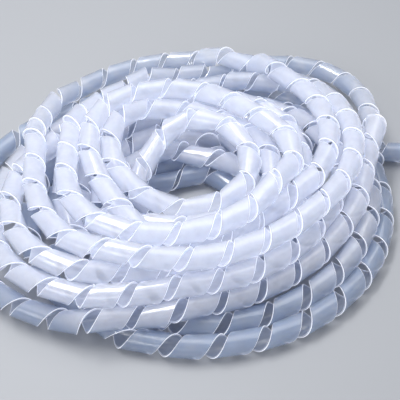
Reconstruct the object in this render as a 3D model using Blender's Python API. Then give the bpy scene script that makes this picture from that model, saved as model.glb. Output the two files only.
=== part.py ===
"""Loose coil of spiral cable wrap: a slit thin-walled tube, wound up and laid on a level floor.

The wound turns are one turned ring with its bore. Its section has one lobe for each turn that shows,
and the ring is eccentric, as the loose coil is: narrow and steep at the front, broad and low behind.
A loose turn on the left and the free end on the right are the real helical strip, wall and pitch.
Metres, +Z up, the floor is Z = 0 and the front of the coil faces -Y.
"""

import math

import bmesh
import bpy
from mathutils import Vector

# Spiral wrap, real section
TUBE_OUTER = 0.012
WALL = 0.001
PITCH = 0.022
STRIP_GAP = 0.0052
STRIP_STEPS_PER_PITCH = 18

# Wound turns, centrelines of the outermost and the innermost turn on the floor
OUTER_TURN_RADIUS = 0.110
OUTER_TURN_X = -0.0015
OUTER_TURN_Y = 0.010
INNER_TURN_RADIUS = 0.030
INNER_TURN_X = -0.008
INNER_TURN_Y = -0.005

# Turns that show at the front, from the outermost on the floor over the top to the innermost on the floor.
# Each is (share of the way from the inner to the outer turn, height in layers above the floor turn).
FRONT_TURNS = (
    (1.00, 0.0),
    (0.90, 0.45),
    (0.79, 1.1),
    (0.68, 2.0),
    (0.55, 2.95),
    (0.42, 3.3),
    (0.27, 3.35),
    (0.09, 2.6),
    (0.00, 1.35),
    (0.00, 0.0),
)
# The same turns at the back, where the coil is broad and slopes down outwards
BACK_TURNS = (
    (1.00, 0.0),
    (0.87, 0.6),
    (0.74, 1.15),
    (0.62, 1.75),
    (0.50, 2.35),
    (0.37, 2.95),
    (0.23, 3.2),
    (0.10, 2.8),
    (0.01, 1.4),
    (0.00, 0.0),
)
LAYER_RISE_IN_DIAMETERS = 0.93
GROOVE_ANGLE = math.radians(26)
GROOVE_MARGIN = math.radians(4)
LOBE_STEPS = 5
END_LOBE_STEPS = 8
RING_STEPS = 64

# Loose turn that swings out on the left
LOOSE_START_ANGLE = math.radians(255)
LOOSE_END_ANGLE = math.radians(148)
LOOSE_REACH = 0.0285
LOOSE_START_LAYER = 0.6
LOOSE_END_LAYER = 0.6

# Free end, straight out along the floor to the right, this far behind the outermost turn's centre
TAIL_OFFSET = 0.023
TAIL_LENGTH = 0.042

WRAP_COLOR = (0.80, 0.83, 0.90, 1.0)
WRAP_ROUGHNESS = 0.28

TUBE_RADIUS = TUBE_OUTER / 2
LAYER_RISE = LAYER_RISE_IN_DIAMETERS * TUBE_OUTER
ROOT_DEPTH = TUBE_OUTER
NODE_NAME = "spiral_wrap"


def clear_scene():
    """Remove every object of the open scene."""
    for item in list(bpy.data.objects):
        bpy.data.objects.remove(item, do_unlink=True)


def make_material():
    """Milky polyethylene, plain in the solid model."""
    material = bpy.data.materials.new("milky_polyethylene")
    material.use_nodes = True
    shader = material.node_tree.nodes["Principled BSDF"]
    shader.inputs["Base Color"].default_value = WRAP_COLOR
    shader.inputs["Roughness"].default_value = WRAP_ROUGHNESS
    shader.inputs["Metallic"].default_value = 0.0
    return material


def on_inner_turn(angle):
    """Point of the innermost floor turn's centreline, as a 2-D vector."""
    return Vector((
        INNER_TURN_X + INNER_TURN_RADIUS * math.cos(angle),
        INNER_TURN_Y + INNER_TURN_RADIUS * math.sin(angle),
    ))


def on_outer_turn(angle, beyond=0.0):
    """Point of the outermost floor turn's centreline, or of a circle this far beyond it."""
    radius = OUTER_TURN_RADIUS + beyond
    return Vector((OUTER_TURN_X + radius * math.cos(angle), OUTER_TURN_Y + radius * math.sin(angle)))


def turn_sections(angle):
    """Centres of the showing turns in the upright section at one angle, and that section's own frame.

    Returns the inner turn's place, the outward unit vector, and (distance outwards, height) of each turn.
    """
    inner = on_inner_turn(angle)
    outer = on_outer_turn(angle)
    width = (outer - inner).length
    outward = (outer - inner).normalized()
    backness = (1 + math.sin(angle)) / 2
    centres = []
    for front, back in zip(FRONT_TURNS, BACK_TURNS):
        share = front[0] + (back[0] - front[0]) * backness
        layers = front[1] + (back[1] - front[1]) * backness
        centres.append((share * width, TUBE_RADIUS + layers * LAYER_RISE))
    return inner, outward, centres


def groove_side(centre, neighbour):
    """Direction from one turn to its neighbour, and the angle from it at which the turn's arc ends."""
    across = neighbour[0] - centre[0]
    rise = neighbour[1] - centre[1]
    crossing = math.acos(min(math.hypot(across, rise) / TUBE_OUTER, 1.0))
    return math.atan2(rise, across), max(GROOVE_ANGLE, crossing + GROOVE_MARGIN)


def heap_outline(centres):
    """Outline of the section: an arc over each turn, with a groove between neighbours, flat below."""
    outline = []
    last = len(centres) - 1
    for index, (across, height) in enumerate(centres):
        begin = -math.pi / 2
        end = 3 * math.pi / 2
        if index > 0:
            direction, side = groove_side(centres[index], centres[index - 1])
            begin = direction + side
        if index < last:
            direction, side = groove_side(centres[index], centres[index + 1])
            end = direction - side
        while end < begin:
            end += 2 * math.pi
        steps = END_LOBE_STEPS if index in (0, last) else LOBE_STEPS
        for step in range(steps):
            turn = begin + (end - begin) * step / (steps - 1)
            outline.append((across + TUBE_RADIUS * math.cos(turn), height + TUBE_RADIUS * math.sin(turn)))
    return outline


def mesh_object(name, bm):
    """Turn a bmesh of flat triangles, facing outwards, into an object."""
    bmesh.ops.recalc_face_normals(bm, faces=bm.faces)
    bmesh.ops.triangulate(bm, faces=bm.faces)
    mesh = bpy.data.meshes.new(name)
    bm.to_mesh(mesh)
    bm.free()
    item = bpy.data.objects.new(name, mesh)
    bpy.context.collection.objects.link(item)
    return item


def close_loop(bm, rings, wrap):
    """Join neighbouring rings of vertices with quads, and cap the ends of an open run."""
    count = len(rings)
    for index in range(count if wrap else count - 1):
        ring = rings[index]
        other = rings[(index + 1) % count]
        for corner in range(len(ring)):
            follow = (corner + 1) % len(ring)
            bm.faces.new((ring[corner], ring[follow], other[follow], other[corner]))
    if not wrap:
        bm.faces.new(tuple(reversed(rings[0])))
        bm.faces.new(tuple(rings[-1]))


def build_wound_ring():
    """The wound turns as one ring, turned around the coil's bore."""
    bm = bmesh.new()
    rings = []
    for step in range(RING_STEPS):
        inner, outward, centres = turn_sections(2 * math.pi * step / RING_STEPS)
        ring = []
        for across, height in heap_outline(centres):
            flat = inner + outward * across
            ring.append(bm.verts.new((flat.x, flat.y, height)))
        rings.append(ring)
    close_loop(bm, rings, wrap=True)
    return mesh_object(NODE_NAME, bm)


def loose_turn_point(share):
    """Centreline of the loose turn: the outer turn's circle, pushed out to the left by a smooth hump."""
    angle = LOOSE_START_ANGLE + (LOOSE_END_ANGLE - LOOSE_START_ANGLE) * share
    hump = math.sin(math.pi * share) ** 2
    flat = on_outer_turn(angle, (LOOSE_REACH + ROOT_DEPTH) * hump - ROOT_DEPTH)
    layers = LOOSE_START_LAYER + (LOOSE_END_LAYER - LOOSE_START_LAYER) * share
    return Vector((flat.x, flat.y, TUBE_RADIUS + layers * LAYER_RISE * (1 - hump)))


def tail_point(share):
    """Centreline of the free end: rooted in the outermost turn, then straight along the floor."""
    outer_radius = OUTER_TURN_RADIUS + TUBE_RADIUS
    face = OUTER_TURN_X + math.sqrt(outer_radius ** 2 - TAIL_OFFSET ** 2)
    along = -ROOT_DEPTH + share * (ROOT_DEPTH + TAIL_LENGTH)
    return Vector((face + along, OUTER_TURN_Y + TAIL_OFFSET, TUBE_RADIUS))


def path_length(point_at, parts=200):
    """Length of a centreline given by a function of a share from 0 to 1."""
    points = [point_at(index / parts) for index in range(parts + 1)]
    return sum((after - before).length for before, after in zip(points, points[1:]))


def build_strip(name, point_at):
    """The real wrap along a centreline: a flat strip wound into a left-handed helix, open in its gaps.

    Both ends are cut square across the tube, so the strip narrows there to a blunt tip.
    """
    bm = bmesh.new()
    length = path_length(point_at)
    strip_width = PITCH - STRIP_GAP
    overrun = strip_width / 2 - WALL
    steps = round(STRIP_STEPS_PER_PITCH * (length + 2 * overrun) / PITCH)
    rings = []
    for step in range(steps + 1):
        middle = -overrun + (length + 2 * overrun) * step / steps
        turn = -2 * math.pi * middle / PITCH
        ring = []
        for side, depth in ((-0.5, 0.0), (0.5, 0.0), (0.5, WALL), (-0.5, WALL)):
            share = min(max((middle + side * strip_width) / length, 0.0), 1.0)
            here = point_at(share)
            along = (point_at(share + 0.001) - point_at(share - 0.001)).normalized()
            sideways = Vector((0, 0, 1)).cross(along).normalized()
            upward = along.cross(sideways)
            spoke = sideways * math.cos(turn) + upward * math.sin(turn)
            ring.append(bm.verts.new(here + spoke * (TUBE_RADIUS - depth)))
        rings.append(ring)
    close_loop(bm, rings, wrap=False)
    return mesh_object(name, bm)


def join_into(body, piece):
    """Fuse a piece into the body and keep it only as a cutter."""
    piece.hide_render = True
    piece.display_type = "WIRE"
    union = body.modifiers.new("join_" + piece.name, "BOOLEAN")
    union.operation = "UNION"
    union.solver = "EXACT"
    union.object = piece


def set_down_centred(item):
    """Apply the joins, then put the middle of the piece's box over the origin, on the floor."""
    evaluated = item.evaluated_get(bpy.context.evaluated_depsgraph_get())
    mesh = bpy.data.meshes.new_from_object(evaluated)
    item.modifiers.clear()
    item.data = mesh
    xs = [vertex.co.x for vertex in mesh.vertices]
    ys = [vertex.co.y for vertex in mesh.vertices]
    shift = Vector((-(min(xs) + max(xs)) / 2, -(min(ys) + max(ys)) / 2, 0.0))
    for vertex in mesh.vertices:
        vertex.co += shift


def main():
    """Build the coil as one piece, as the real wrap is."""
    clear_scene()
    coil = build_wound_ring()
    coil.data.materials.append(make_material())
    join_into(coil, build_strip("loose_turn", loose_turn_point))
    join_into(coil, build_strip("free_end", tail_point))
    set_down_centred(coil)
    coil.data.shade_smooth()
    coil.data.set_sharp_from_angle(angle=math.radians(40))


main()
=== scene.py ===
"""Looks of the loose coil of spiral cable wrap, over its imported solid.

The wrap is built as the real thing: one tube of natural polyethylene, slit in a left-handed helix and wound
by hand into a loose coil. Its route is laid out turn by turn, then settled, so that turns rest on the floor,
beside and on each other, about a diameter apart. Metres, +Z up, the front of the coil faces -Y.
"""

import logging
import math
from dataclasses import dataclass, field
from enum import Enum
from typing import Any

import bpy
import numpy as np
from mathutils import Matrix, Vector


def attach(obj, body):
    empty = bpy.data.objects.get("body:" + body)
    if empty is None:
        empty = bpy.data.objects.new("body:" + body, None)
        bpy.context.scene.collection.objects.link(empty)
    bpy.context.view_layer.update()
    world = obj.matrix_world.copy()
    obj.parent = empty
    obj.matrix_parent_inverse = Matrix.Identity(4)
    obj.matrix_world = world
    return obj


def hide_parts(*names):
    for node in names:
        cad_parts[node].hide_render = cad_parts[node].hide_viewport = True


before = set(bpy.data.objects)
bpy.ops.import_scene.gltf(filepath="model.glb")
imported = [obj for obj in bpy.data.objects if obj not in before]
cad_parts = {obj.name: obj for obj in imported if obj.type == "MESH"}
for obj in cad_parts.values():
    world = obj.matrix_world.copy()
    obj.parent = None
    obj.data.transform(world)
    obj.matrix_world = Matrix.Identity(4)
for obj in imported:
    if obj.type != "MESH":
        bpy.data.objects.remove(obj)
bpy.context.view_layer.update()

LOG = logging.getLogger("spiral_wrap")
STATIONS_PER_TURN = 8
AXES = (0, 1, 2)
# Added to a distance, so that it is never zero
LITTLE = 1e-12
SHARP_ANGLE = math.radians(35)

Station = tuple[float, float]


class Slit(Enum):
    """How wide the slit gapes along a turn, in metres along the tube."""

    TIGHT = 0.0034
    EVEN = 0.0045
    OPEN = 0.0060


@dataclass(frozen=True)
class LaidTurn:
    """One turn of the coil: how wide its slit gapes, and its stations, anticlockwise seen from above.

    A whole turn has STATIONS_PER_TURN of them from the front on, and the first turn only its last ones. Each
    station is (share of the way from the inner to the outer turn, layers above the floor turn).
    """

    slit: Slit
    stations: tuple[Station, ...]


@dataclass(frozen=True)
class TubeSection:
    """Real section of the wrap, and how finely its strip is made."""

    outer: float = 0.012
    wall: float = 0.001
    strip_width: float = 0.0168
    edge_round: float = 0.0002
    steps_per_round: int = 24

    @property
    def radius(self) -> float:
        """Outer radius of the tube."""
        return self.outer / 2

    def profile(self) -> np.ndarray:
        """Section of the strip as a rectangle with cut corners.

        Returns:
            Rows of (distance along the tube from the strip's middle, depth below the tube's outside), in
            order round the section, first along the outside.
        """
        half = self.strip_width / 2
        cut = self.edge_round
        return np.array(
            [
                (-half + cut, 0.0),
                (half - cut, 0.0),
                (half, cut),
                (half, self.wall - cut),
                (half - cut, self.wall),
                (-half + cut, self.wall),
                (-half, self.wall - cut),
                (-half, cut),
            ]
        )


@dataclass(frozen=True)
class Winding:
    """The route of the wrap through the coil, and how it settles.

    Lengths are in metres. The pull and the easing are shares of what is missing, for one round.
    """

    tube: TubeSection = field(default_factory=TubeSection)
    inner_centre: tuple[float, float] = (-0.0151, -0.0151)
    inner_radius: float = 0.030
    outer_centre: tuple[float, float] = (-0.0151, 0.0001)
    outer_half_length: float = 0.118
    outer_half_width: float = 0.109
    layer_rise: float = 0.011
    free_end_y: float = 0.0229
    free_end_x: float = 0.1405
    free_end_step: float = 0.006
    lift_over_free_end: float = 0.009
    lift_reach_in_diameters: float = 0.75
    first_lifted_station: int = 6
    point_spacing: float = 0.006
    points_per_station: int = 9
    laid_smoothings: int = 4
    settle_rounds: int = 200
    same_stretch_points: int = 5
    sink_per_round: float = 0.00005
    pull_to_laid: float = 0.02
    move_smoothings: int = 3
    rounds_between_easings: int = 10
    easing: float = 0.15
    slit_less_at_sides: float = 0.0018

    def turns(self) -> tuple[LaidTurn, ...]:
        """The turns in the order in which they were wound, from the free end on the right."""
        return (
            LaidTurn(Slit.EVEN, (
                (0.08, 0), (0.03, 0), (0.0, 0), (0.0, 0),
            )),
            LaidTurn(Slit.EVEN, (
                (0.02, 0), (0.04, 0), (0.03, 0), (-0.03, 0),
                (-0.09, 0), (-0.04, 0), (0.09, 0), (0.14, 0),
            )),
            LaidTurn(Slit.EVEN, (
                (0.20, 0), (0.20, 0), (0.17, 0), (0.13, 0),
                (0.08, 0), (0.12, 0), (0.22, 0), (0.30, 0),
            )),
            LaidTurn(Slit.EVEN, (
                (0.39, 0), (0.38, 0), (0.32, 0), (0.27, 0),
                (0.22, 0), (0.25, 0), (0.35, 0), (0.46, 0),
            )),
            LaidTurn(Slit.EVEN, (
                (0.59, 0), (0.57, 0), (0.48, 0), (0.42, 0),
                (0.37, 0), (0.39, 0), (0.49, 0), (0.63, 0),
            )),
            LaidTurn(Slit.OPEN, (
                (0.79, 0), (0.90, 0.6), (0.84, 1.0), (0.70, 0.5),
                (0.52, 0), (0.53, 0), (0.64, 0), (0.82, 0),
            )),
            LaidTurn(Slit.OPEN, (
                (1.0, 0), (1.0, 0), (0.94, 0), (0.83, 0),
                (0.69, 0), (0.78, 0), (1.06, 0.2), (1.14, 0.4),
            )),
            LaidTurn(Slit.TIGHT, (
                (0.76, 1.0), (0.70, 1.3), (0.82, 2.0), (1.19, 0.7),
                (0.70, 1.0), (0.52, 2.2), (0.38, 3.3), (0.46, 3.5),
            )),
            LaidTurn(Slit.EVEN, (
                (0.31, 3.3), (0.26, 3.4), (0.33, 3.5), (0.23, 3.4),
                (0.34, 2.9), (0.33, 3.2), (0.24, 3.3), (0.20, 2.7),
            )),
            LaidTurn(Slit.EVEN, (
                (0.29, 2.1), (0.31, 2.4), (0.55, 3.1), (0.73, 2.5),
                (0.91, 1.0), (0.88, 0.8), (0.60, 2.9), (0.66, 3.1),
            )),
            LaidTurn(Slit.TIGHT, (
                (0.53, 3.0), (0.53, 3.0), (0.72, 2.9), (0.84, 1.8),
                (0.58, 1.0), (0.60, 1.0), (0.80, 1.2), (1.0, 1.8),
            )),
            LaidTurn(Slit.OPEN, (
                (0.65, 2.0), (0.61, 2.0), (0.66, 1.9), (0.58, 1.2),
                (0.46, 1.0), (0.50, 1.2), (0.66, 2.2), (0.86, 2.7),
            )),
            LaidTurn(Slit.EVEN, (
                (0.48, 2.1), (0.44, 2.0), (0.42, 1.9), (0.40, 1.4),
                (0.36, 1.6), (0.36, 1.9), (0.42, 2.0), (0.50, 1.4),
            )),
            LaidTurn(Slit.OPEN, (
                (0.48, 1), (0.47, 1), (0.46, 1), (0.36, 1),
                (0.30, 1), (0.32, 1), (0.35, 1), (0.32, 1),
            )),
            LaidTurn(Slit.EVEN, (
                (0.28, 1), (0.28, 1), (0.27, 1), (0.22, 1),
                (0.17, 1), (0.17, 1), (0.15, 1), (0.12, 1),
            )),
            LaidTurn(Slit.EVEN, (
                (0.09, 1), (0.10, 1), (0.10, 1), (0.06, 1),
                (0.02, 1), (0.03, 1.05), (0.16, 1.6), (0.20, 2.0),
            )),
            LaidTurn(Slit.EVEN, (
                (0.11, 2.0), (0.14, 2.0), (0.22, 2.0), (0.20, 2.0),
                (0.20, 2.2), (0.27, 3.1), (0.12, 3.1), (-0.05, 2.3),
            )),
            LaidTurn(Slit.EVEN, (
                (-0.09, 2.1), (0.0, 2.2), (0.07, 2.6), (0.09, 2.9),
                (0.07, 2.9), (-0.05, 2.3), (0.0, 1.6), (0.0, 1.0),
            )),
        )

    def laid_route(self) -> np.ndarray:
        """Route through the stations, before it settles.

        The stations are joined by a Catmull-Rom curve in (share, layers), while the angle round the coil
        grows evenly, so that every point is a share of the way from the inner circle to the outer oval.
        Turns wound after the first stations are lifted where they pass over the free end.

        Returns:
            Points from the tip of the free end to the inner end, one per row.
        """
        laid = np.array([station for turn in self.turns() for station in turn.stations], float)
        per = self.points_per_station
        padded = np.concatenate([2 * laid[:1] - laid[1:2], laid, 2 * laid[-1:] - laid[-2:-1]])
        along = (np.arange(per) / per)[None, :, None]
        corners = (padded[:-3, None], padded[1:-2, None], padded[2:-1, None], padded[3:, None])
        curve = catmull_rom(*corners, along)
        curve = np.concatenate([curve.reshape(-1, 2), laid[-1:]])
        first_station = STATIONS_PER_TURN - len(self.turns()[0].stations)
        turned = (first_station + np.arange(len(curve)) / per) / STATIONS_PER_TURN
        angle = np.radians(-90 + 360 * turned)
        spoke = np.stack([np.cos(angle), np.sin(angle)], axis=1)
        inner = np.array(self.inner_centre) + self.inner_radius * spoke
        half_sizes = np.array([self.outer_half_length, self.outer_half_width])
        outer = np.array(self.outer_centre) + half_sizes * spoke
        flat = inner + curve[:, :1] * (outer - inner)
        height = self.tube.radius + curve[:, 1] * self.layer_rise
        wound_later = np.arange(len(curve)) > self.first_lifted_station * per
        reach = self.lift_reach_in_diameters * self.tube.outer
        closeness = np.exp(-(((flat[:, 1] - self.free_end_y) / reach) ** 2))
        lift = self.lift_over_free_end * closeness * wound_later * (flat[:, 0] > self.inner_centre[0])
        turns = np.column_stack([flat, np.maximum(height, self.tube.radius + lift)])
        tail_x = np.arange(self.free_end_x, turns[0, 0] + 2 * self.free_end_step, -self.free_end_step)
        tail = np.column_stack([tail_x, np.full((len(tail_x), 2), (self.free_end_y, self.tube.radius))])
        return np.concatenate([tail, turns])

    def settled_route(self) -> np.ndarray:
        """Route after its turns have come to rest on the floor and on each other.

        In each round, every two points of different stretches that are nearer than a diameter push each
        other apart by half of what is missing. A point's moves are summed and divided by the root of their
        number. Each point sinks a little and is drawn a little to where it was laid, and the moves are
        smoothed along the wrap, which is stiff. No point sinks below the floor. Pressed turns keep a small
        overlap, and turns that were laid across each other at one height stay crossed, as the first two
        floor turns do at the left of the eye.

        Returns:
            Points at an even spacing, from the tip of the free end to the inner end.
        """
        laid = smoothed(evenly_spaced(self.laid_route(), self.point_spacing), self.laid_smoothings)
        count = len(laid)
        order = np.arange(count)
        same_stretch = np.abs(order[:, None] - order[None]) <= self.same_stretch_points
        route = laid.copy()
        for done in range(self.settle_rounds):
            square = sum((route[:, None, axis] - route[None, :, axis]) ** 2 for axis in AXES)
            one, other = np.nonzero((square < self.tube.outer**2) & ~same_stretch)
            apart = route[one] - route[other]
            distance = np.sqrt((apart**2).sum(axis=1)) + LITTLE
            missing = (self.tube.outer - distance) / 2
            touching = np.sqrt(np.maximum(np.bincount(one, minlength=count), 1))
            pushes = [apart[:, axis] / distance * missing for axis in AXES]
            moves = np.column_stack([np.bincount(one, push, minlength=count) / touching for push in pushes])
            moves[:, 2] -= self.sink_per_round
            moves += self.pull_to_laid * (laid - route)
            route = route + smoothed(moves, self.move_smoothings)
            route[:, 2] = np.maximum(route[:, 2], self.tube.radius)
            if (done + 1) % self.rounds_between_easings == 0:
                route += self.easing * (smoothed(route, 1) - route)
        return evenly_spaced(route, self.point_spacing)

    def slit_along(self, route: np.ndarray) -> np.ndarray:
        """Width of the slit at each point of the route.

        It goes smoothly from turn to turn, and is a little less at the coil's left and right sides.

        Args:
            route: Evenly spaced points of the centreline.

        Returns:
            One width per point.
        """
        angle = unwound_angle(route, self.inner_centre)
        widths = [turn.slit.value for turn in self.turns()]
        halfway = 2 * math.pi * (np.arange(len(widths)) + 0.5) - math.pi / 2
        return np.interp(angle, halfway, widths) - self.slit_less_at_sides * np.cos(angle) ** 2


def unwound_angle(points: np.ndarray, middle: tuple[float, float]) -> np.ndarray:
    """Angle round the coil's middle at each point, which grows on from turn to turn.

    Args:
        points: Points of the route.
        middle: Middle of the coil.

    Returns:
        The angles in radians, 0 towards +X.
    """
    return np.unwrap(np.arctan2(points[:, 1] - middle[1], points[:, 0] - middle[0]))


def catmull_rom(
    before: np.ndarray, start: np.ndarray, end: np.ndarray, after: np.ndarray, along: np.ndarray
) -> np.ndarray:
    """Catmull-Rom curve between two points, by its cubic in the share along.

    Args:
        before: Point before the stretch.
        start: Point at the start of the stretch.
        end: Point at its end.
        after: Point after it.
        along: Share of the way along the stretch, from 0 to 1.

    Returns:
        Points of the curve.
    """
    linear = end - before
    quadratic = 2 * before - 5 * start + 4 * end - after
    cubic = 3 * start + after - before - 3 * end
    return 0.5 * (2 * start + linear * along + quadratic * along**2 + cubic * along**3)


def smoothed(values: np.ndarray, times: int) -> np.ndarray:
    """Average each row with its neighbours, with weights 1, 2 and 1, and keep both ends.

    Args:
        values: One row per point of the route.
        times: How often.

    Returns:
        The smoothed rows.
    """
    for _ in range(times):
        middle = (values[:-2] + 2 * values[1:-1] + values[2:]) / 4
        values = np.concatenate([values[:1], middle, values[-1:]])
    return values


def distance_along(points: np.ndarray) -> np.ndarray:
    """Distance from the first point to each point, along the points."""
    return np.concatenate([[0.0], np.cumsum(np.linalg.norm(np.diff(points, axis=0), axis=1))])


def running_sum(places: np.ndarray, rate: np.ndarray) -> np.ndarray:
    """Running sum of a rate over places, by the trapezium rule, from 0 at the first place."""
    steps = np.diff(places) * (rate[1:] + rate[:-1]) / 2
    return np.concatenate([[0.0], np.cumsum(steps)])


def evenly_spaced(points: np.ndarray, spacing: float) -> np.ndarray:
    """The same line with points at an even spacing.

    Args:
        points: Points of the line.
        spacing: Wanted spacing, which is met to a rounding of the whole.

    Returns:
        The new points.
    """
    reached = distance_along(points)
    wanted = np.linspace(0.0, reached[-1], round(reached[-1] / spacing) + 1)
    return np.column_stack([np.interp(wanted, reached, points[:, axis]) for axis in AXES])


def curve_at(points: np.ndarray, places: np.ndarray) -> np.ndarray:
    """Smooth curve through evenly spaced points.

    Args:
        points: Points of the route.
        places: Where to read the curve, counted in points.

    Returns:
        One point per place.
    """
    last = len(points) - 1
    index = np.clip(places.astype(int), 0, last - 1)
    share = (places - index)[:, None]
    padded = np.concatenate([2 * points[:1] - points[1:2], points, 2 * points[-1:] - points[-2:-1]])
    return catmull_rom(padded[index], padded[index + 1], padded[index + 2], padded[index + 3], share)


@dataclass(frozen=True)
class SocketMaths:
    """A number in a shader, so that shader maths reads as plain expressions."""

    graph: "ShaderGraph"
    socket: Any

    def _with(self, operation: str, *values: Any) -> "SocketMaths":
        """Result of one Math node on these values."""
        return self.graph.node("ShaderNodeMath", {"operation": operation}, dict(enumerate(values)))

    def __add__(self, other: Any) -> "SocketMaths":
        """Sum."""
        return self._with("ADD", self, other)

    def __radd__(self, other: Any) -> "SocketMaths":
        """Sum, with a plain number first."""
        return self._with("ADD", other, self)

    def __sub__(self, other: Any) -> "SocketMaths":
        """Difference."""
        return self._with("SUBTRACT", self, other)

    def __rsub__(self, other: Any) -> "SocketMaths":
        """Difference, with a plain number first."""
        return self._with("SUBTRACT", other, self)

    def __mul__(self, other: Any) -> "SocketMaths":
        """Product."""
        return self._with("MULTIPLY", self, other)

    def __rmul__(self, other: Any) -> "SocketMaths":
        """Product, with a plain number first."""
        return self._with("MULTIPLY", other, self)

    def __abs__(self) -> "SocketMaths":
        """Size without the sign."""
        return self._with("ABSOLUTE", self)

    def ramp(self, low: float, high: float) -> "SocketMaths":
        """Share of the way from low to high, eased at both ends and held outside them."""
        settings = {"interpolation_type": "SMOOTHSTEP"}
        limits = {"Value": self, "From Min": low, "From Max": high}
        return self.graph.node("ShaderNodeMapRange", settings, limits)


class ShaderGraph:
    """Node tree of one material. One method adds any node, and two more use it for mixes and noise."""

    def __init__(self, name: str) -> None:
        """Make a material with an empty node tree.

        Args:
            name: Name of the material.
        """
        self.material = bpy.data.materials.new(name)
        self.material.use_nodes = True
        self.tree = self.material.node_tree
        self.tree.nodes.clear()

    def node(
        self, kind: str, settings: dict[str, Any], inputs: dict[Any, Any], output: Any = 0
    ) -> SocketMaths:
        """Add a node.

        Args:
            kind: Blender's name of the node's type.
            settings: The node's own properties, set first.
            inputs: Values or links of its sockets, by name or number.
            output: Which output is wanted.

        Returns:
            That output.
        """
        made = self.tree.nodes.new(kind)
        for name, value in settings.items():
            setattr(made, name, value)
        for name, value in inputs.items():
            if isinstance(value, SocketMaths):
                self.tree.links.new(value.socket, made.inputs[name])
            else:
                made.inputs[name].default_value = value
        return SocketMaths(self, made.outputs[output] if len(made.outputs) else None)

    def mix(self, share: Any, one: Any, other: Any) -> SocketMaths:
        """Mix two colours.

        Args:
            share: Share of the second colour.
            one: First colour.
            other: Second colour.

        Returns:
            The mixed colour.
        """
        return self.node("ShaderNodeMix", {"data_type": "RGBA"}, {0: share, 6: one, 7: other}, 2)

    def noise(self, place: SocketMaths, scale: float, detail: float, roughness: float) -> SocketMaths:
        """Noise over a place.

        Args:
            place: Coordinates that the noise varies over.
            scale: How fine it is.
            detail: How many finer layers it has.
            roughness: How strong these are.

        Returns:
            The noise, about 0.5 on the average.
        """
        inputs = {"Vector": place, "Scale": scale, "Detail": detail, "Roughness": roughness}
        return self.node("ShaderNodeTexNoise", {}, inputs)


def rgba(red: float, green: float, blue: float) -> tuple[float, float, float, float]:
    """Opaque colour."""
    return (red, green, blue, 1.0)


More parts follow.
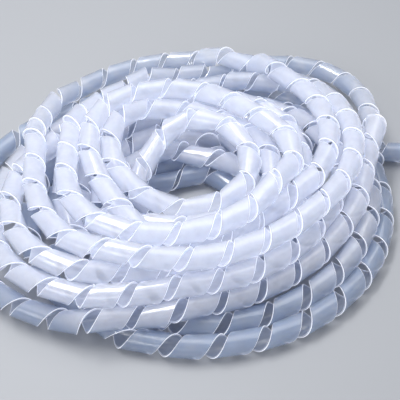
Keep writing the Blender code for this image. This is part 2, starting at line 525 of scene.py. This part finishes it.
@dataclass(frozen=True)
class MilkyPolyethylene:
    """Finish of natural, unpigmented polyethylene: milky, translucent, smooth and slightly glossy."""

    outside: tuple[float, float, float, float] = rgba(0.80, 0.84, 0.97)
    # Painted shade: the turns that lie near the floor are painted a darker blue-grey.
    painted_low_shade: tuple[float, float, float, float] = rgba(0.30, 0.40, 0.62)
    # Painted light inside the tube: the tone the inside wall is painted, whiter than the low turns' painted
    # shade. The clouds also mix towards this colour.
    inside: tuple[float, float, float, float] = rgba(0.74, 0.78, 0.91)
    # Painted highlight: the outer rim of each cut edge is painted white, for the light it catches.
    painted_edge_highlight: tuple[float, float, float, float] = rgba(1.0, 1.0, 1.0)
    # Painted glow: emission colour for the inside of the tube and the cut edges, which are no lamps.
    painted_glow: tuple[float, float, float, float] = rgba(0.80, 0.84, 1.0)
    unlit: tuple[float, float, float, float] = rgba(0.0, 0.0, 0.0)
    painted_glow_strength: float = 0.60
    roughness: float = 0.30
    clarity: float = 0.54
    low_clarity: float = 0.52
    low_height: float = 0.011
    full_height: float = 0.023
    middle_y: float = 0.02
    back_y: float = 0.10
    # Painted shade: the outside is painted bluer and darker from middle_y towards back_y, the back of the
    # coil.
    back_painted_shade: float = 0.45
    edge_reach: float = 0.0004
    edge_highlight_share: float = 0.9
    cut_face_dimming: float = 0.75
    cloud_in_colour: float = 0.1
    clouding: float = 0.16
    # Painted light: share by which the inside of the low turns is painted towards the inside tone.
    low_painted_inside_light_share: float = 0.35
    # Painted glow inside the tube: a little on the low turns, more added on raised ones.
    low_painted_inside_glow: float = 0.05
    raised_painted_inside_glow: float = 0.45
    lines_in_roughness: float = 0.10
    cloud_in_roughness: float = 0.06
    edge_in_roughness: float = 0.12
    lines_in_relief: float = 0.7
    lines_scale: float = 1400.0
    lines_along_tube: float = 0.03
    cloud_scale: float = 90.0
    fine_scale: float = 1600.0
    relief_strength: float = 0.10
    relief_depth: float = 0.0002
    refraction: float = 1.5
    scattered_share: float = 0.85
    scatter_distance: float = 0.010
    scatter_by_colour: tuple[float, float, float] = (0.8, 0.9, 1.0)
    coat_roughness: float = 0.035
    coat_refraction: float = 1.9

    def build(self, tube: TubeSection) -> bpy.types.Material:
        """Make the material.

        The outside goes from a painted blue-grey shade on the low turns to white with the height above the
        floor, and the painted shade stays bluer towards the back. The inside of the tube is painted whiter
        and
        glows a little, most where it lies high: painted light for what milky plastic gathers from all sides.
        The outer rim of each cut edge is painted white and glows, a painted highlight, and hides what is
        behind it, and the rest of the cut face does so less. Each of the wall's other faces lets about half
        of the light through. Fine lines run along the tube, and wide clouds vary the colour, the roughness
        and how much a face lets through.

        Args:
            tube: Section of the wrap, whose strip's own coordinates the material reads.

        Returns:
            The material.
        """
        graph = ShaderGraph("milky_polyethylene")
        across = graph.node("ShaderNodeAttribute", {"attribute_name": "across_strip"}, {}, "Fac")
        depth = graph.node("ShaderNodeAttribute", {"attribute_name": "wall_depth"}, {}, "Fac")
        place = graph.node("ShaderNodeAttribute", {"attribute_name": "tube_place"}, {}, "Vector")
        object_place = graph.node("ShaderNodeTexCoord", {}, {}, "Object")
        height = graph.node("ShaderNodeSeparateXYZ", {}, {0: object_place}, 2)
        backward = graph.node("ShaderNodeSeparateXYZ", {}, {0: object_place}, 1)

        half = tube.strip_width / 2
        inner = depth.ramp(0.3 * tube.wall, 0.7 * tube.wall)
        rim = 1.0 - self.cut_face_dimming * depth.ramp(0.15 * tube.wall, 0.55 * tube.wall)
        edge = rim * abs(across).ramp(half - self.edge_reach, half - 0.3 * self.edge_reach)
        # Height above the floor, which sets the painted shade, the painted light inside and how clear a face
        # is.
        raised = height.ramp(self.low_height, self.full_height)

        stretch = (1.0, 1.0, self.lines_along_tube)
        stretched = graph.node("ShaderNodeVectorMath", {"operation": "MULTIPLY"}, {0: place, 1: stretch})
        lines = graph.noise(stretched, self.lines_scale, 2.0, 0.6)
        cloud = graph.noise(place, self.cloud_scale, 3.0, 0.55)
        fine = graph.noise(object_place, self.fine_scale, 2.0, 0.5)

        # Painted shade: the outside is white where it lies high, painted blue-grey near the floor, and bluer
        # towards the back.
        unshaded_share = raised * (1.0 - self.back_painted_shade * backward.ramp(self.middle_y, self.back_y))
        share = unshaded_share * (1.0 - self.cloud_in_colour) + cloud * self.cloud_in_colour
        outside = graph.mix(share, self.painted_low_shade, self.outside)
        # Painted light inside the tube, full where the turn lies high and less near the floor.
        painted_inside_light_share = self.low_painted_inside_light_share + (1.0 - self.low_painted_inside_light_share) * raised
        wall = graph.mix(inner * painted_inside_light_share, outside, self.inside)
        clouded = graph.mix(cloud.ramp(0.42, 0.70) * self.clouding, wall, self.inside)
        # Painted highlight: white on the outer rim of each cut edge.
        colour = graph.mix(edge * self.edge_highlight_share, clouded, self.painted_edge_highlight)

        unevenness = self.lines_in_roughness * (lines - 0.5) + self.cloud_in_roughness * (cloud - 0.5)
        roughness = self.roughness + unevenness + self.edge_in_roughness * edge
        clearness = self.low_clarity + (self.clarity - self.low_clarity) * raised
        alpha = 1.0 - clearness * (1.0 - edge) * (0.75 + 0.5 * cloud)
        relief = {
            "Strength": self.relief_strength,
            "Distance": self.relief_depth,
            "Height": self.lines_in_relief * lines + (1.0 - self.lines_in_relief) * fine,
        }
        bump = graph.node("ShaderNodeBump", {}, relief)

        # Painted glow: emission inside the tube, stronger where the turn lies high, and on the cut edges.
        painted_inside_glow = self.low_painted_inside_glow + self.raised_painted_inside_glow * raised
        painted_glow = graph.mix(inner * painted_inside_glow + edge, self.unlit, self.painted_glow)

        shader = graph.node(
            "ShaderNodeBsdfPrincipled",
            {},
            {
                "Base Color": colour,
                "Roughness": roughness,
                "Alpha": alpha,
                "Normal": bump,
                "IOR": self.refraction,
                "Subsurface Weight": self.scattered_share,
                "Subsurface Radius": self.scatter_by_colour,
                "Subsurface Scale": self.scatter_distance,
                "Coat Weight": 1.0,
                "Coat Roughness": self.coat_roughness,
                "Coat IOR": self.coat_refraction,
                "Emission Color": painted_glow,
                "Emission Strength": self.painted_glow_strength,
            },
        )
        graph.node("ShaderNodeOutputMaterial", {}, {"Surface": shader})
        return graph.material


@dataclass
class WoundWrap:
    """The whole wrap, from its free end to the end inside the coil."""

    winding: Winding = field(default_factory=Winding)
    finish: MilkyPolyethylene = field(default_factory=MilkyPolyethylene)

    def strip_surface(self, route: np.ndarray) -> tuple[np.ndarray, dict[str, np.ndarray]]:
        """Surface of the strip, as a function of the place along it and the place round its section.

        The strip goes once round the tube over a length of its width and the slit's, so its angle at a
        place is minus 2 pi times the sum of the steps along the route over that pitch, and the minus sign
        makes it left-handed. The section's points lie straight along the tube's direction, as the stiff
        strip does, so a bend opens the slit on its outside and closes it on its inside. Both ends are cut
        square across the tube.

        Args:
            route: Evenly spaced points of the centreline.

        Returns:
            Points in rows along the strip and columns round its section, and what the finish reads there.
        """
        tube = self.winding.tube
        reached = distance_along(route)
        length = reached[-1]
        overrun = tube.strip_width / 2 - tube.wall
        fine = np.linspace(-overrun, length + overrun, 4 * len(route))
        pitch = tube.strip_width + np.interp(fine, reached, self.winding.slit_along(route))
        rounds_made = running_sum(fine, 1 / pitch)
        steps = round(tube.steps_per_round * rounds_made[-1])
        rounds = np.linspace(0.0, rounds_made[-1], steps + 1)
        middle = np.interp(rounds, rounds_made, fine)
        profile = tube.profile()
        reach = np.clip(middle[:, None] + profile[None, :, 0], 0.0, length) - middle[:, None]
        held = np.clip(middle, 0.0, length)
        reach += (middle - held)[:, None]

        last = len(route) - 1
        places = held / length * last
        centre = curve_at(route, places)
        ahead = curve_at(route, np.minimum(places + 0.5, last))
        behind = curve_at(route, np.maximum(places - 0.5, 0.0))
        along = unit(ahead - behind)
        sideways = unit(np.cross((0.0, 0.0, 1.0), along))
        upward = np.cross(along, sideways)
        turn = -2 * math.pi * rounds
        spoke = sideways * np.cos(turn)[:, None] + upward * np.sin(turn)[:, None]

        radius = tube.radius - profile[:, 1]
        points = centre[:, None] + along[:, None] * reach[..., None] + spoke[:, None] * radius[None, :, None]
        points[..., 2] += np.maximum(-points[..., 2].min(axis=1), 0.0)[:, None]
        shape = points.shape[:2]
        section = np.stack([np.cos(turn), np.sin(turn)], axis=1)[:, None] * radius[None, :, None]
        tube_place = np.concatenate([section, (held[:, None] + reach)[..., None]], axis=2)
        facts = {
            "across_strip": np.broadcast_to(profile[:, 0], shape),
            "wall_depth": np.broadcast_to(profile[:, 1], shape),
            "tube_place": tube_place,
        }
        return points, facts

    def build(self) -> bpy.types.Object:
        """Returns:
            The wrap's object.
        """
        route = self.winding.settled_route()
        points, facts = self.strip_surface(route)
        wrap = closed_strip("wound_spiral_wrap", points, facts)
        wrap.data.materials.append(self.finish.build(self.winding.tube))
        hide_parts("spiral_wrap")
        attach(wrap, "root")
        return wrap


def unit(vectors: np.ndarray) -> np.ndarray:
    """Vectors of length one in the same directions."""
    return vectors / np.linalg.norm(vectors, axis=-1, keepdims=True)


def closed_strip(name: str, points: np.ndarray, facts: dict[str, np.ndarray]) -> bpy.types.Object:
    """Mesh of a long closed strip.

    Args:
        name: Name of the object.
        points: Points in rows along the strip and columns round its section.
        facts: Values for the finish, one array of numbers or vectors for each name.

    Returns:
        The object, shaded smooth, with its faces outwards.
    """
    rows, columns = points.shape[:2]
    number = np.arange(rows * columns).reshape(rows, columns)
    following = np.roll(number, -1, axis=1)
    sides = np.stack([number[:-1], number[1:], following[1:], following[:-1]], axis=-1).reshape(-1, 4)
    start_cap = number[0]
    end_cap = number[-1][::-1]
    mesh = bpy.data.meshes.new(name)
    loops = np.concatenate([sides.ravel(), start_cap, end_cap])
    sizes = np.concatenate([np.full(len(sides), 4), [columns, columns]])
    starts = np.concatenate([[0], np.cumsum(sizes)[:-1]])
    mesh.vertices.add(points.size // 3)
    mesh.vertices.foreach_set("co", points.astype(np.float32).ravel())
    mesh.loops.add(len(loops))
    mesh.loops.foreach_set("vertex_index", loops.astype(np.int32))
    mesh.polygons.add(len(sizes))
    mesh.polygons.foreach_set("loop_start", starts.astype(np.int32))
    mesh.update(calc_edges=True)
    for fact, values in facts.items():
        kind, field_name = ("FLOAT_VECTOR", "vector") if values.ndim == 3 else ("FLOAT", "value")
        attribute = mesh.attributes.new(fact, kind, "POINT")
        attribute.data.foreach_set(field_name, np.ascontiguousarray(values, np.float32).ravel())
    mesh.polygons.foreach_set("use_smooth", np.ones(len(sizes), bool))
    mesh.set_sharp_from_angle(angle=SHARP_ANGLE)
    mesh.validate()
    item = bpy.data.objects.new(name, mesh)
    bpy.context.collection.objects.link(item)
    return item


@dataclass(frozen=True)
class Lamp:
    """Rectangular lamp that faces the coil, with its length along X, its width, and its power in watts."""

    name: str
    place: tuple[float, float, float]
    length: float
    width: float
    power: float


@dataclass
class Studio:
    """Plain pale floor, soft light and the camera."""

    look_at: tuple[float, float, float] = (-0.0071, -0.0101, 0.0)
    distance: float = 0.410
    elevation: float = 50.0
    lens: float = 63.0
    film_width: float = 36.0
    nearest: float = 0.01
    farthest: float = 20.0
    floor_half: float = 3.0
    floor_colour: tuple[float, float, float, float] = rgba(0.42, 0.43, 0.45)
    floor_roughness: float = 0.55
    sky_colour: tuple[float, float, float, float] = rgba(0.86, 0.91, 1.0)
    sky_strength: float = 0.40
    lamps: tuple[Lamp, ...] = (
        Lamp("overhead", (0.10, 0.35, 1.1), 0.9, 0.9, 4.4),
        Lamp("front_fill", (-0.7, -0.9, 0.7), 0.8, 0.5, 2.6),
        Lamp("streak_lamp", (-0.30, 0.12, 0.80), 0.60, 0.18, 4.8),
    )

    def add_camera(self) -> None:
        """Camera at the photograph's angle."""
        data = bpy.data.cameras.new("camera")
        data.lens = self.lens
        data.sensor_width = self.film_width
        data.clip_start = self.nearest
        data.clip_end = self.farthest
        camera = bpy.data.objects.new("camera", data)
        tilt = math.radians(self.elevation)
        back = Vector((0.0, -math.cos(tilt), math.sin(tilt)))
        camera.location = Vector(self.look_at) + back * self.distance
        camera.rotation_euler = (-back).to_track_quat("-Z", "Y").to_euler()
        bpy.context.collection.objects.link(camera)
        bpy.context.scene.camera = camera

    def add_floor(self) -> None:
        """Level pale floor under the coil."""
        half = self.floor_half
        corners = [(-half, -half, 0), (half, -half, 0), (half, half, 0), (-half, half, 0)]
        mesh = bpy.data.meshes.new("floor")
        mesh.from_pydata(corners, [], [(0, 1, 2, 3)])
        floor = bpy.data.objects.new("floor", mesh)
        bpy.context.collection.objects.link(floor)
        graph = ShaderGraph("pale_floor")
        paint = {"Base Color": self.floor_colour, "Roughness": self.floor_roughness}
        shader = graph.node("ShaderNodeBsdfPrincipled", {}, paint)
        graph.node("ShaderNodeOutputMaterial", {}, {"Surface": shader})
        mesh.materials.append(graph.material)

    def add_lamp(self, lamp: Lamp) -> None:
        """Put up one lamp."""
        data = bpy.data.lights.new(lamp.name, "AREA")
        data.shape = "RECTANGLE"
        data.size = lamp.length
        data.size_y = lamp.width
        data.energy = lamp.power
        item = bpy.data.objects.new(lamp.name, data)
        item.location = lamp.place
        aim = Vector(self.look_at) - Vector(lamp.place)
        item.rotation_euler = aim.to_track_quat("-Z", "Y").to_euler()
        bpy.context.collection.objects.link(item)

    def add_lights(self) -> None:
        """Pale sky, a large soft lamp overhead, a fill from the front, and a narrow lamp for the streaks."""
        world = bpy.data.worlds.new("world")
        world.use_nodes = True
        sky = world.node_tree.nodes["Background"]
        sky.inputs["Color"].default_value = self.sky_colour
        sky.inputs["Strength"].default_value = self.sky_strength
        bpy.context.scene.world = world
        bpy.context.scene.view_settings.view_transform = "Standard"
        for lamp in self.lamps:
            self.add_lamp(lamp)


def main() -> None:
    """Build the scene in order, camera and wrap first."""
    logging.basicConfig(level=logging.INFO, format="%(name)s: %(message)s")
    studio = Studio()
    studio.add_camera()
    WoundWrap().build()
    studio.add_floor()
    studio.add_lights()


if __name__ == "__main__":
    main()
